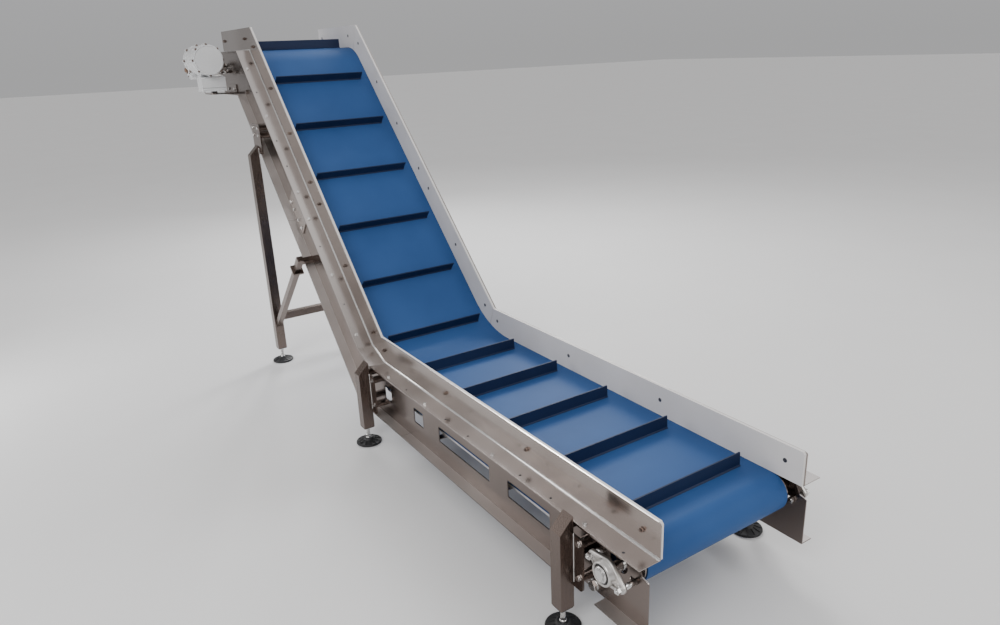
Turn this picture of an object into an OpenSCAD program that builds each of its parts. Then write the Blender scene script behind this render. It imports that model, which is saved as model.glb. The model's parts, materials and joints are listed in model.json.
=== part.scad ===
// Inclined cleated belt conveyor: level infeed, 45 degree climb, level discharge.
// Lengths are millimetres. +X is the travel direction, +Y the drive side, +Z up.
// The origin lies on the floor, midway between the two tail feet.

/* [Conveyor line] */
// Clear width between the two liners
clear_w = 600; // [560:10:640]
// Height of the belt surface above the floor at the infeed
infeed_h = 372; // [360:2:400]
// Length of the level infeed, from its end to the corner of the climb
infeed_l = 1832; // [1812:4:1860]
// Length of the climb, corner to corner
climb_l = 1958; // [1938:4:1980]
// Length of the level head, from the corner to its end
head_l = 560; // [550:5:600]
// Angle of the climb
climb_a = 45; // [45:1:46]

/* [Side frames and guides] */
// Depth of the side frame plates
frame_d = 235; // [232:1:240]
// Width of the outward flanges of the side frames
frame_flange = 45; // [43:1:47]
// Sheet thickness of the side frames
frame_t = 4; // [3:0.5:5]
// Height of the side guides above the belt line
guide_h = 120; // [110:2:130]
// Sheet thickness of the side guides
guide_t = 3; // [2.5:0.5:4]
// Thickness of the white liners
liner_t = 10; // [8:1:10]
// Spacing of the holes along the guide flanges
flange_pitch = 168; // [166:1:170]

/* [Belt] */
// Belt width
belt_w = 610; // [606:1:612]
// Belt thickness
belt_t = 3; // [2.5:0.5:3.5]
// Cleat height
cleat_h = 50; // [40:1:52]
// Cleat width
cleat_w = 500; // [460:5:500]
// Number of cleats on the belt
cleat_n = 26; // [20:1:28]
// Distance of the first cleat from the tail drum centre
cleat_start = 87; // [60:1:120]
// Radius of the belt at the foot of the climb
foot_r = 420; // [380:10:440]
// Radius of the belt at the top of the climb
crest_r = 230; // [200:10:260]

/* [Drums and rollers] */
// Radius of the tail drum
tail_r = 65; // [60:1:66]
// Radius of the head drum
head_r = 85; // [80:1:86]
// Shaft diameter
shaft_d = 35; // [30:1:36]
// Travel of the tail bearings along their slots
takeup = 20; // [10:1:20]

/* [Supports] */
// Side of the square leg tubes
leg_w = 50; // [46:1:50]
// Diameter of the foot pads
pad_d = 116; // [100:2:120]
// Travel of the levelling feet
foot_travel = 30; // [20:1:30]

/* [Hidden] */
$fn = 48;

// stations along the line, measured from the infeed end
tail_leg_x = 292;
knee_leg_x = 1770;
rear_leg_x = 3030;

// heights: z = 0 is the underside of the guide flanges until "placed" lifts it
ca = cos(climb_a);
sa = sin(climb_a);
half_tan = tan(climb_a / 2);
crest_x = infeed_l + climb_l * ca;
crest_z = climb_l * sa;
end_x = crest_x + head_l;
face_y = clear_w / 2;
wall_y = face_y + liner_t;
web_y = 345;
flange_y = web_y + frame_flange;
splice_s = 975;
facet = 70;

// belt line
belt_top = -1;
run_gap = 0.4;
belt_under = belt_top - belt_t;
tail_c = [120, belt_under - tail_r - run_gap];
head_c = [end_x - 130, crest_z + belt_under - head_r - run_gap];
foot_c = [infeed_l - (foot_r + belt_top) * half_tan, foot_r + belt_top];
crest_c = [crest_x + (crest_r - belt_top) * half_tan, crest_z + belt_top - crest_r];
return_tail = tail_c[1] - tail_r - run_gap;
return_head = head_c[1] - head_r - run_gap;
return_n = -150;
knee_r = 45;
edge_r = 40;
knee_cz = return_tail + knee_r + run_gap;
knee_cn = return_n + knee_r + run_gap;
knee_c = [infeed_l + (knee_cz * ca - knee_cn) / sa, knee_cz];
edge_cz = return_head - belt_t - edge_r - run_gap;
edge_cn = return_n - belt_t - edge_r - run_gap;
edge_c = [crest_x + ((edge_cz - crest_z) * ca - edge_cn) / sa, edge_cz];

// bearings
bolt_span = 130;
bearing_tilt = 18;
standoff = 45;
bearing_y = web_y + standoff;
flange_plate = 14;
boss_h = 34;
ring_r = 25;
fit_gap = 0.05;

// drive
gear_y = 520;
worm_dz = 50;
motor_r = 82;
disc_r = 87;
motor_len = 190;
gear_half = 46;
input_x = head_c[0] - 72;
motor_x0 = input_x - 78 - motor_len;

// levelling feet
leg_bottom = 82 - infeed_h;
leg_y0 = web_y + 56;
leg_mid_y = leg_y0 + leg_w / 2;
spindle_r = 8;
slope_drop = leg_w;

steel = [0.70, 0.68, 0.66];
white = [0.90, 0.89, 0.90];
blue = [0.16, 0.33, 0.62];
navy = [0.06, 0.12, 0.26];
paint = [0.84, 0.85, 0.87];
dark = [0.10, 0.10, 0.11];

function rad(a) = a * PI / 180;
function add(a, b) = [a[0] + b[0], a[1] + b[1]];
function polar(r, a) = [r * cos(a), r * sin(a)];

// corner of the line offset by n above the belt line, at the foot and the crest
function foot_corner(n) = [infeed_l - n * half_tan, n];
function crest_corner(n) = [crest_x - n * half_tan, crest_z + n];
// point at distance s up the climb, n above it
function climb_pt(s, n) = [infeed_l + s * ca - n * sa, s * sa + n * ca];
// the guides and frames are cut with one short facet at the foot of the climb
function facet_in(n) = [infeed_l - facet - n * tan(climb_a / 4), n];
function facet_out(n) = climb_pt(facet + n * tan(climb_a / 4), n);

// belt path as pieces: [length, kind, point or centre, heading or start angle, sweep, radius]
// kind 0 is straight; kind 1 is an arc whose radius is that of the outer belt face
climb_from = add(foot_c, polar(foot_r, climb_a - 90));
climb_to = add(crest_c, polar(crest_r, climb_a + 90));
down_from = add(edge_c, polar(edge_r + run_gap, climb_a + 90));
down_to = add(knee_c, polar(knee_r + run_gap + belt_t, climb_a - 90));
PATH = [
    [foot_c[0] - tail_c[0], 0, [tail_c[0], belt_top], 0],
    [rad(climb_a) * (foot_r + belt_t / 2), 1, foot_c, -90, climb_a, foot_r],
    [norm(climb_to - climb_from), 0, climb_from, climb_a],
    [rad(climb_a) * (crest_r - belt_t / 2), 1, crest_c, climb_a + 90, -climb_a, crest_r],
    [head_c[0] - crest_c[0], 0, [crest_c[0], crest_z + belt_top], 0],
    [PI * (head_r + run_gap + belt_t / 2), 1, head_c, 90, -180, head_r + run_gap + belt_t],
    [head_c[0] - edge_c[0], 0, [head_c[0], return_head - belt_t], 180],
    [rad(climb_a) * (edge_r + run_gap + belt_t / 2), 1, edge_c, 90, climb_a,
        edge_r + run_gap],
    [norm(down_from - down_to), 0, down_from, 180 + climb_a],
    [rad(climb_a) * (knee_r + run_gap + belt_t / 2), 1, knee_c, climb_a - 90, -climb_a,
        knee_r + run_gap + belt_t],
    [knee_c[0] - tail_c[0], 0, [knee_c[0], return_tail - belt_t], 180],
    [PI * (tail_r + run_gap + belt_t / 2), 1, tail_c, -90, -180, tail_r + run_gap + belt_t]];
function total(i = 0) = i < len(PATH) ? PATH[i][0] + total(i + 1) : 0;
pitch = total() / cleat_n;

// point on the outer belt face and the travel heading there, at fraction f of piece i
function on_piece(i, f) = PATH[i][1] == 0
    ? [add(PATH[i][2], polar(PATH[i][0] * f, PATH[i][3])), PATH[i][3]]
    : [add(PATH[i][2], polar(PATH[i][5], PATH[i][3] + f * PATH[i][4])),
        PATH[i][3] + f * PATH[i][4] + (PATH[i][4] > 0 ? 90 : -90)];
function on_path(s, i = 0) = s <= PATH[i][0]
    ? on_piece(i, s / PATH[i][0])
    : on_path(s - PATH[i][0], i + 1);
function steps(i) = PATH[i][1] == 0 ? 1 : ceil(abs(PATH[i][4]) / 2.25);
function trace(i, f0 = 0, f1 = 1) =
    [for (k = [0 : steps(i)]) on_piece(i, f0 + (f1 - f0) * k / steps(i))];
function lift(p, d) = add(p[0], polar(d, p[1] + 90));
function lifted(list, d) = [for (p = list) lift(p, d)];
function back(list) = [for (k = [len(list) - 1 : -1 : 0]) list[k]];

// ---- shared shapes ----

module placed() {
    translate([-tail_leg_x, 0, infeed_h]) children();
}

// extrudes an outline drawn in X and Z across y0 to y1
module across(y0, y1) {
    translate([0, y1, 0]) rotate([90, 0, 0]) linear_extrude(y1 - y0) children();
}

module both_sides() {
    children();
    mirror([0, 1, 0]) children();
}

// side = 1 is the drive side (left), -1 the right
module on_side(side) {
    if (side > 0) children();
    else mirror([0, 1, 0]) children();
}

module cyl_y(r, y0, y1, x, z, sides = 48) {
    translate([x, y1, z]) rotate([90, 0, 0]) cylinder(r = r, h = y1 - y0, $fn = sides);
}

module cyl_x(r, x0, x1, y, z, sides = 48) {
    translate([x0, y, z]) rotate([0, 90, 0]) cylinder(r = r, h = x1 - x0, $fn = sides);
}

module round_rect(w, h, r) {
    translate([-w / 2 + r, -h / 2]) square([w - 2 * r, h]);
    translate([-w / 2, -h / 2 + r]) square([w, h - 2 * r]);
    for (x = [-1, 1], z = [-1, 1]) {
        translate([x * (w / 2 - r), z * (h / 2 - r)]) circle(r = r, $fn = 24);
    }
}

module slot_shape(travel, r) {
    square_h = 2 * r;
    translate([0, -r]) square([travel, square_h]);
    circle(r = r, $fn = 24);
    translate([travel, 0]) circle(r = r, $fn = 24);
}

// bar that follows the belt path between two offsets from its outer face
module path_band(list, d0, d1, y0, y1) {
    across(y0, y1) polygon(concat(lifted(list, d0), back(lifted(list, d1))));
}

// ---- side frames ----

windows = [[463, 246], [829, 378], [1343, 83], [1645, 70]];
window_h = 68;
window_z = -118;
lip_gap = [186, 345];
lip_joint = 1480;

module web_outline_lower() {
    polygon([
        [18, -64], [34, -60], [66, -frame_t / 2], [70, 0], facet_in(0), facet_out(0),
        climb_pt(splice_s - 1, 0), climb_pt(splice_s - 1, -frame_d), foot_corner(-frame_d),
        [8, -frame_d], [8, -74]]);
    translate([18, -74]) circle(r = 10, $fn = 24);
}

module bearing_slots(c, travel) {
    translate(c) slot_shape(travel, 28);
    for (k = [-1, 1]) {
        translate(add(c, polar(k * bolt_span / 2, bearing_tilt))) slot_shape(travel, 7);
    }
}

module splice_holes() {
    for (ds = splice_bolt_s, n = splice_bolt_n) {
        translate(climb_pt(splice_s + ds, n)) circle(r = 5, $fn = 24);
    }
}

module frame_holes() {
    for (k = [0 : 9]) {
        translate([84 + k * flange_pitch, flange_y - 20, -frame_t - 1])
            cylinder(r = 4.5, h = frame_t + guide_t + 2, $fn = 24);
    }
}

module climb_frame_holes(s0, s1) {
    for (k = [0 : 10]) {
        s = 141 + k * flange_pitch;
        if (s > s0 && s < s1) {
            translate([infeed_l, 0, 0]) rotate([0, -climb_a, 0])
                translate([s, flange_y - 20, -frame_t - 1])
                    cylinder(r = 4.5, h = frame_t + guide_t + 2, $fn = 24);
        }
    }
}

module side_frame_lower(side) {
    color(steel) placed() on_side(side) difference() {
        union() {
            across(web_y - frame_t, web_y) difference() {
                web_outline_lower();
                for (w = windows) {
                    translate([w[0] + w[1] / 2, window_z]) round_rect(w[1], window_h, 6);
                }
                bearing_slots(tail_c, takeup);
                for (x = [tail_leg_x, knee_leg_x], dx = leg_bolt_dx, z = leg_bolt_z) {
                    translate([x + dx, z]) circle(r = 5, $fn = 24);
                }
                translate(tie_bolt) circle(r = 10.5, $fn = 24);
                translate(knee_c) circle(r = 10 + fit_gap, $fn = 24);
                splice_holes();
            }
            across(web_y - 1, flange_y) polygon([
                [70, 0], facet_in(0), facet_out(0), climb_pt(splice_s - 1, 0),
                climb_pt(splice_s - 1, -frame_t), facet_out(-frame_t), facet_in(-frame_t),
                [70, -frame_t]]);
            lip_lower();
        }
        frame_holes();
        climb_frame_holes(facet, splice_s);
    }
}

module lip_lower() {
    for (p = [[8, lip_gap[0]], [lip_gap[1], lip_joint - 0.5]]) {
        translate([p[0], web_y - 1, -frame_d])
            cube([p[1] - p[0], frame_flange + 1, frame_t]);
    }
    across(web_y - 1, flange_y) polygon([
        [lip_joint + 0.5, -frame_d], foot_corner(-frame_d),
        climb_pt(splice_s - 1, -frame_d), climb_pt(splice_s - 1, frame_t - frame_d),
        foot_corner(frame_t - frame_d), [lip_joint + 0.5, frame_t - frame_d]]);
}

module side_frame_upper(side) {
    s0 = splice_s + 1;
    color(steel) placed() on_side(side) difference() {
        union() {
            across(web_y - frame_t, web_y) difference() {
                polygon([
                    climb_pt(s0, 0), crest_corner(0), [end_x - 12, crest_z],
                    [end_x - 12, crest_z - frame_d], crest_corner(-frame_d),
                    climb_pt(s0, -frame_d)]);
                bearing_slots(head_c, 0.01);
                splice_holes();
                translate(edge_c) circle(r = 8 + fit_gap, $fn = 24);
                for (p = rear_plate_bolts) translate(p) circle(r = 5, $fn = 24);
                for (dx = [0, 120]) {
                    translate([bracket_x0 + 30 + dx, crest_z - 205]) circle(r = 5, $fn = 24);
                }
            }
            across(web_y - 1, flange_y) polygon([
                climb_pt(s0, 0), crest_corner(0), [end_x - 12, crest_z],
                [end_x - 12, crest_z - frame_t], crest_corner(-frame_t),
                climb_pt(s0, -frame_t)]);
            across(web_y - 1, flange_y) polygon([
                climb_pt(s0, -frame_d), crest_corner(-frame_d),
                [end_x - 12, crest_z - frame_d], [end_x - 12, crest_z + frame_t - frame_d],
                crest_corner(frame_t - frame_d), climb_pt(s0, frame_t - frame_d)]);
        }
        climb_frame_holes(splice_s, climb_l);
    }
}

module side_frame_lower_left() { side_frame_lower(1); }
module side_frame_lower_right() { side_frame_lower(-1); }
module side_frame_upper_left() { side_frame_upper(1); }
module side_frame_upper_right() { side_frame_upper(-1); }

// bolted plates that join the lower and upper side frames
splice_l = 220;
splice_bolt_s = [-85, -35, 35, 85];
splice_bolt_n = [-185, -75];
module splice_plates() {
    color(steel) placed() both_sides() {
        translate([infeed_l, web_y, 0]) rotate([0, -climb_a, 0]) {
            difference() {
                translate([splice_s - splice_l / 2, 0.1, -205]) cube([splice_l, 5, 150]);
                for (ds = splice_bolt_s, n = splice_bolt_n) {
                    cyl_y(5, -1, 7, splice_s + ds, n, 24);
                }
            }
        }
    }
}

// ---- guides and liners ----

module guide_wall_outline() {
    polygon([
        [0, 0], facet_in(0), facet_out(0), crest_corner(0), [end_x, crest_z],
        [end_x, crest_z + guide_h], crest_corner(guide_h), foot_corner(guide_h),
        [10, guide_h], [3, guide_h - 3], [0, guide_h - 10]]);
}

infeed_screws = [70, 626, 1182, 1752];
climb_screws = [106, 480, 850, 988, 1308, 1618, 1920];
head_screws = [70, 500];
screw_n = 64;
screw_pts = concat(
    [for (x = infeed_screws) [x, screw_n]],
    [for (s = climb_screws) climb_pt(s, screw_n)],
    [for (x = head_screws) [crest_x + x, crest_z + screw_n]]);
screw_r = 4;

module guide(side) {
    color(steel) placed() on_side(side) difference() {
        union() {
            across(wall_y, wall_y + guide_t) guide_wall_outline();
            across(wall_y, flange_y) polygon([
                [0, 0.2], facet_in(0.2), facet_out(0.2), crest_corner(0.2),
                [end_x, crest_z + 0.2], [end_x, crest_z + guide_t],
                crest_corner(guide_t), facet_out(guide_t), facet_in(guide_t),
                [0, guide_t]]);
        }
        frame_holes();
        climb_frame_holes(facet, climb_l);
        for (p = screw_pts) cyl_y(screw_r + 0.2, wall_y - 1, wall_y + guide_t + 1, p[0], p[1], 24);
    }
}
module guide_left() { guide(1); }
module guide_right() { guide(-1); }

liner_gap = 1.5;
module liner_cut(side, points) {
    color(white) placed() on_side(side) difference() {
        across(face_y, wall_y - 0.1) polygon(points);
        for (p = screw_pts) cyl_y(screw_r + 0.2, face_y - 1, wall_y + 1, p[0], p[1], 24);
    }
}
module liner_infeed(side) {
    liner_cut(side, concat(
        [[3, belt_top + liner_gap]],
        lifted(trace(1, 0, 0.5), liner_gap),
        [foot_corner(guide_h) - [0.3, 0], [10, guide_h], [3, guide_h - 8]]));
}
module liner_climb(side) {
    liner_cut(side, concat(
        lifted(trace(1, 0.51, 1), liner_gap),
        lifted(trace(3, 0, 0.49), liner_gap),
        [crest_corner(guide_h) - [0.6, 0.6], foot_corner(guide_h) + [0.6, 0.6]]));
}
module liner_head(side) {
    liner_cut(side, concat(
        lifted(trace(3, 0.51, 1), liner_gap),
        [[end_x - 3, crest_z + belt_top + liner_gap], [end_x - 3, crest_z + guide_h - 4],
            [end_x - 8, crest_z + guide_h], crest_corner(guide_h) + [0.6, 0]]));
}
module liner_infeed_left() { liner_infeed(1); }
module liner_infeed_right() { liner_infeed(-1); }
module liner_climb_left() { liner_climb(1); }
module liner_climb_right() { liner_climb(-1); }
module liner_head_left() { liner_head(1); }
module liner_head_right() { liner_head(-1); }

// countersunk screws through liner and guide, with a washer and nut outside
module liner_screws() {
    color(steel) placed() both_sides() {
        for (p = screw_pts) {
            y1 = wall_y + guide_t;
            cyl_y(screw_r, face_y + 2, y1 + 12, p[0], p[1], 16);
            cyl_y(8.5, y1 + 0.05, y1 + 1.6, p[0], p[1], 24);
            cyl_y(7.4, y1 + 1.55, y1 + 8, p[0], p[1], 6);
        }
    }
}

// bolts that clamp the guide flange on the frame flange; the other holes stay open
infeed_bolts = [1, 4, 7, 9];
climb_bolts = [0, 2, 4, 5, 8, 10];
module flange_bolt() {
    translate([0, 0, guide_t + 0.05]) cylinder(r = 8, h = 1.5, $fn = 24);
    translate([0, 0, guide_t + 1.5]) cylinder(r = 6.5, h = 5.3, $fn = 6);
    translate([0, 0, -frame_t - 12]) cylinder(r = 4, h = frame_t + guide_t + 14, $fn = 16);
    translate([0, 0, -frame_t - 6.5]) cylinder(r = 7.4, h = 6.4, $fn = 6);
}
// bolt along Y: head outside at y1, nut inside at y0
module web_bolt(x, z, y0, y1) {
    cyl_y(4.6, y0 - 10, y1 + 2, x, z, 16);
    cyl_y(9, y1 + 0.1, y1 + 1.6, x, z, 24);
    cyl_y(8.5, y1 + 1.5, y1 + 7, x, z, 6);
    cyl_y(8.5, y0 - 7, y0 - 0.1, x, z, 6);
}
module frame_bolts() {
    color(steel) placed() both_sides() {
        for (k = infeed_bolts) translate([84 + k * flange_pitch, flange_y - 20, 0]) flange_bolt();
        translate([infeed_l, flange_y - 20, 0]) rotate([0, -climb_a, 0])
            for (k = climb_bolts) translate([141 + k * flange_pitch, 0, 0]) flange_bolt();
        for (ds = splice_bolt_s, n = splice_bolt_n) {
            p = climb_pt(splice_s + ds, n);
            web_bolt(p[0], p[1], web_y - frame_t, web_y + 5.2);
        }
        for (x = [tail_leg_x, knee_leg_x], dx = leg_bolt_dx, z = leg_bolt_z) {
            web_bolt(x + dx, z, web_y - frame_t, plate_y + 6);
        }
        cyl_y(10, web_y - frame_t - 18, web_y + 4, tie_bolt[0], tie_bolt[1], 24);
        cyl_y(17, web_y + 0.1, web_y + 13, tie_bolt[0], tie_bolt[1], 6);
        cyl_y(17, web_y - frame_t - 15, web_y - frame_t - 0.1, tie_bolt[0], tie_bolt[1], 6);
        for (p = rear_plate_bolts) web_bolt(p[0], p[1], web_y - frame_t, plate_y + 6);
    }
    color(steel) placed() for (dx = [30, 150]) {
        web_bolt(bracket_x0 + dx, crest_z - 205, web_y - frame_t, web_y + 6);
    }
}

// ---- slider beds and cross members ----

bed_w = 616;
bed_t = 3;
bed_gap = 0.5;
module bed(list) {
    d0 = -belt_t - bed_gap;
    color(steel) placed() {
        path_band(list, d0, d0 - bed_t, -bed_w / 2, bed_w / 2);
        for (y = [-bed_w / 2, bed_w / 2 - bed_t]) {
            path_band(list, d0 - bed_t + 0.5, d0 - 24, y, y + bed_t);
        }
    }
}
bed_in = 78 / PATH[0][0];
bed_out = 1 - 70 / PATH[4][0];
module bed_infeed() { bed(concat(trace(0, bed_in, 1), trace(1, 0.05, 0.49))); }
module bed_climb() { bed(concat(trace(1, 0.51, 1), trace(3, 0.05, 0.49))); }
module bed_head() { bed(concat(trace(3, 0.51, 1), [on_piece(4, bed_out)])); }

// channel section tie between the webs, its flat top just below a bed
tie_h = 40;
module tie() {
    length = 2 * (web_y - frame_t) - 0.4;
    translate([-20, -length / 2, -32 - tie_h]) difference() {
        cube([40, length, tie_h]);
        translate([3, 5, -1]) cube([34, length - 10, tie_h - 2]);
    }
}
module cross_members() {
    color(steel) placed() {
        for (x = [380, 780, 1270, 1600]) translate([x, 0, 2]) tie();
        translate([infeed_l, 0, 0]) rotate([0, -climb_a, 0])
            for (s = [330, 740, 1210, 1640]) translate([s, 0, 2]) tie();
        translate([crest_x + 190, 0, crest_z + 2]) tie();
    }
}

// ---- return strand supports ----

rail_y = [258, 303];
module rail(list) {
    for (y = [rail_y[0], -rail_y[1]]) {
        path_band(list, 1, 11, y, y + rail_y[1] - rail_y[0]);
    }
}
module return_rails() {
    color(white) placed() {
        rail([on_piece(8, 0.06), on_piece(8, 0.95)]);
        rail([on_piece(10, 0.06), on_piece(10, 0.95)]);
    }
}

// angle bracket between a rail and the web; drawn at a point of the return strand
module rail_bracket() {
    translate([-15, 265, 11.2]) cube([30, web_y - frame_t - 0.2 - 265, 4]);
    translate([-15, web_y - frame_t - 4.2, 11.2]) cube([30, 4, 34]);
}
module return_rail_brackets() {
    color(steel) placed() both_sides() {
        for (f = [0.12, 0.4, 0.72, 0.93]) {
            p = on_piece(8, f);
            translate([p[0][0], 0, p[0][1]]) rotate([0, -(p[1]), 0]) rail_bracket();
        }
        for (f = [0.13, 0.37, 0.64, 0.9]) {
            p = on_piece(10, f);
            translate([p[0][0], 0, p[0][1]]) rotate([0, -(p[1]), 0]) rail_bracket();
        }
    }
}

// ---- belt ----

module belt() {
    loop = [for (i = [0 : len(PATH) - 1]) for (k = [0 : steps(i) - 1])
        on_piece(i, k / steps(i))];
    color(blue) placed() across(-belt_w / 2, belt_w / 2) difference() {
        polygon(lifted(loop, 0));
        polygon(lifted(loop, -belt_t));
    }
}

module cleat() {
    across(-cleat_w / 2, cleat_w / 2)
        polygon([[-9, 1.3], [-3, 0.2], [3, 0.2], [9, 1.3], [4, 6], [2.5, cleat_h], [-2.5, cleat_h], [-4, 6]]);
}
module cleats() {
    color(navy) placed() for (k = [0 : cleat_n - 1]) {
        p = on_path(cleat_start + k * pitch);
        translate([p[0][0], 0, p[0][1]]) rotate([0, -p[1], 0]) cleat();
    }
}

// ---- drums, shafts and bearings ----

module drum(c, r) {
    difference() {
        cyl_y(r, -312, 312, c[0], c[1], 96);
        cyl_y(r - 6, -300, 300, c[0], c[1], 96);
        cyl_y(shaft_d / 2 + 0.02, -320, 320, c[0], c[1]);
    }
    difference() {
        cyl_y(r - 5, -300.5, -290, c[0], c[1], 48);
        cyl_y(shaft_d / 2 + 0.02, -320, 320, c[0], c[1]);
    }
}
module tail_drum() { color(steel) placed() drum(tail_c, tail_r); }
module head_drum() { color(dark) placed() drum(head_c, head_r); }

shaft_end = bearing_y + boss_h + 4;
module tail_shaft() {
    color(steel) placed() cyl_y(shaft_d / 2, -shaft_end, shaft_end, tail_c[0], tail_c[1]);
}
// the drive end is turned down to pass through the hollow wheel shaft
module head_shaft() {
    color(steel) placed() {
        cyl_y(shaft_d / 2, -shaft_end, shaft_end + 20, head_c[0], head_c[1]);
        cyl_y(12.5, shaft_end + 19, gear_y + gear_half + 3, head_c[0], head_c[1]);
        cyl_y(17, gear_y + gear_half + 0.5, gear_y + gear_half + 6, head_c[0], head_c[1]);
        cyl_y(11, gear_y + gear_half + 5, gear_y + gear_half + 14, head_c[0], head_c[1], 6);
    }
}

// inner ring with its locking collar
module bearing_rings(c) {
    both_sides() difference() {
        union() {
            cyl_y(ring_r, bearing_y + 2, bearing_y + boss_h, c[0], c[1]);
            cyl_y(ring_r - 1, bearing_y + boss_h - 1, bearing_y + boss_h + 2, c[0], c[1]);
        }
        cyl_y(shaft_d / 2 + 0.02, bearing_y, bearing_y + boss_h + 5, c[0], c[1]);
    }
}
module tail_bearing_rings() { color(steel) placed() bearing_rings(tail_c); }
module head_bearing_rings() { color(steel) placed() bearing_rings(head_c); }

// two bolt flange bearing housing: round boss on an oval flange
module oval_flange(big, small) {
    half = bolt_span / 2;
    a = acos((big - small) / half);
    circle(r = big);
    for (k = [-1, 1]) translate([k * half, 0]) circle(r = small, $fn = 32);
    polygon([
        polar(big, a), [half + small * cos(a), small * sin(a)],
        [half + small * cos(a), -small * sin(a)], polar(big, -a), -polar(big, a),
        [-half - small * cos(a), -small * sin(a)],
        [-half - small * cos(a), small * sin(a)], -polar(big, -a)]);
}
module bearing_housing() {
    difference() {
        union() {
            across(0, flange_plate) oval_flange(44, 15);
            cyl_y(41, flange_plate - 1, flange_plate + 8, 0, 0, 64);
            cyl_y(38, flange_plate + 7, boss_h - 2, 0, 0, 64);
            translate([20, 24, 20]) rotate([0, 45, 0]) cylinder(r = 4, h = 22, $fn = 24);
        }
        cyl_y(ring_r + fit_gap, -1, boss_h + 4, 0, 0, 64);
        for (k = [-1, 1]) cyl_y(6.6, -1, flange_plate + 2, k * bolt_span / 2, 0, 24);
    }
}
module bearing_pair(c) {
    both_sides() translate([c[0], bearing_y, c[1]]) rotate([0, -bearing_tilt, 0]) bearing_housing();
}
module tail_bearing_housings() { color(steel) placed() bearing_pair(tail_c); }
module head_bearing_housings() { color(steel) placed() bearing_pair(head_c); }

// stud, spacer tube and nuts that carry a bearing clear of the web
module stud() {
    web_gap = 0.3;
    cyl_y(6, -frame_t - 14, standoff + flange_plate + 16, 0, 0, 16);
    cyl_y(11, -frame_t - 11, -frame_t - web_gap, 0, 0, 6);
    cyl_y(9, web_gap, standoff - 0.1, 0, 0, 24);
    cyl_y(11, standoff + flange_plate + 0.1, standoff + flange_plate + 11, 0, 0, 6);
}
module studs(c) {
    both_sides() for (k = [-1, 1]) {
        p = add(c, polar(k * bolt_span / 2, bearing_tilt));
        translate([p[0], web_y, p[1]]) stud();
    }
}
module tail_bearing_studs() { color(steel) placed() studs(tail_c); }
module head_bearing_studs() { color(steel) placed() studs(head_c); }

// ---- return rollers ----

module knee_roller() {
    color(white) placed() difference() {
        cyl_y(knee_r, -315, 315, knee_c[0], knee_c[1], 64);
        cyl_y(10 + fit_gap, -320, 320, knee_c[0], knee_c[1]);
    }
}
module knee_roller_axle() {
    color(steel) placed() {
        cyl_y(10, -web_y - 3, web_y + 3, knee_c[0], knee_c[1]);
        both_sides() cyl_y(15, web_y + 0.1, web_y + 10, knee_c[0], knee_c[1], 6);
    }
}
module edge_rollers() {
    color(white) placed() both_sides() difference() {
        cyl_y(edge_r, 257, 306, edge_c[0], edge_c[1], 64);
        cyl_y(8 + fit_gap, 250, 310, edge_c[0], edge_c[1]);
    }
}
module edge_roller_axles() {
    color(steel) placed() both_sides() {
        cyl_y(8, 253, web_y + 3, edge_c[0], edge_c[1]);
        cyl_y(12, 306.6, web_y - frame_t - 0.1, edge_c[0], edge_c[1]);
        cyl_y(13, web_y + 0.1, web_y + 9, edge_c[0], edge_c[1], 6);
        cyl_y(13, 252, 256.4, edge_c[0], edge_c[1]);
    }
}

// ---- drive ----

worm_z = head_c[1] + worm_dz;
wheel_r = 38;
worm_r = 11.6;

module gearbox_outline() {
    translate([head_c[0], head_c[1]]) circle(r = 54, $fn = 64);
    translate([head_c[0] - 58, head_c[1] - 20]) square([116, 100]);
    translate([head_c[0], head_c[1] + 56]) round_rect(132, 62, 8);
}
module gearbox_housing() {
    color(paint) placed() difference() {
        union() {
            across(gear_y - 38, gear_y + 38) gearbox_outline();
            cyl_x(40, input_x, head_c[0] - 60, gear_y, worm_z, 48);
            cyl_x(60, input_x, input_x + 10, gear_y, worm_z, 64);
            cyl_y(46, gear_y - 42, gear_y + 42, head_c[0], head_c[1], 64);
        }
        cyl_y(40, gear_y - 34, gear_y + 34, head_c[0], head_c[1], 64);
        cyl_y(42, gear_y + 33, gear_y + 43, head_c[0], head_c[1], 64);
        cyl_y(42, gear_y - 43, gear_y - 33, head_c[0], head_c[1], 64);
        cyl_x(14, input_x - 1, head_c[0] + 56, gear_y, worm_z, 48);
    }
}
module gearbox_covers() {
    color(paint) placed() for (y = [gear_y - 46, gear_y + 36]) {
        difference() {
            cyl_y(41.8, y, y + 10, head_c[0], head_c[1], 64);
            cyl_y(18 + fit_gap, y - 1, y + 11, head_c[0], head_c[1]);
        }
    }
}
module worm_wheel() {
    color([0.72, 0.52, 0.24]) placed() difference() {
        union() {
            cyl_y(wheel_r, gear_y - 12, gear_y + 12, head_c[0], head_c[1], 64);
            cyl_y(18, gear_y - gear_half, gear_y + gear_half, head_c[0], head_c[1]);
        }
        cyl_y(12.5 + 0.02, gear_y - 50, gear_y + 50, head_c[0], head_c[1]);
    }
}
module worm_shaft() {
    color(steel) placed() {
        cyl_x(worm_r, head_c[0] - 26, head_c[0] + 26, gear_y, worm_z);
        cyl_x(9, input_x + 4, head_c[0] + 48, gear_y, worm_z);
    }
}
module motor_lugs(r, x0, x1) {
    for (a = [0 : 45 : 315]) {
        cyl_x(7, x0, x1, gear_y + r * cos(a), worm_z + r * sin(a), 24);
    }
}
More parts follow.
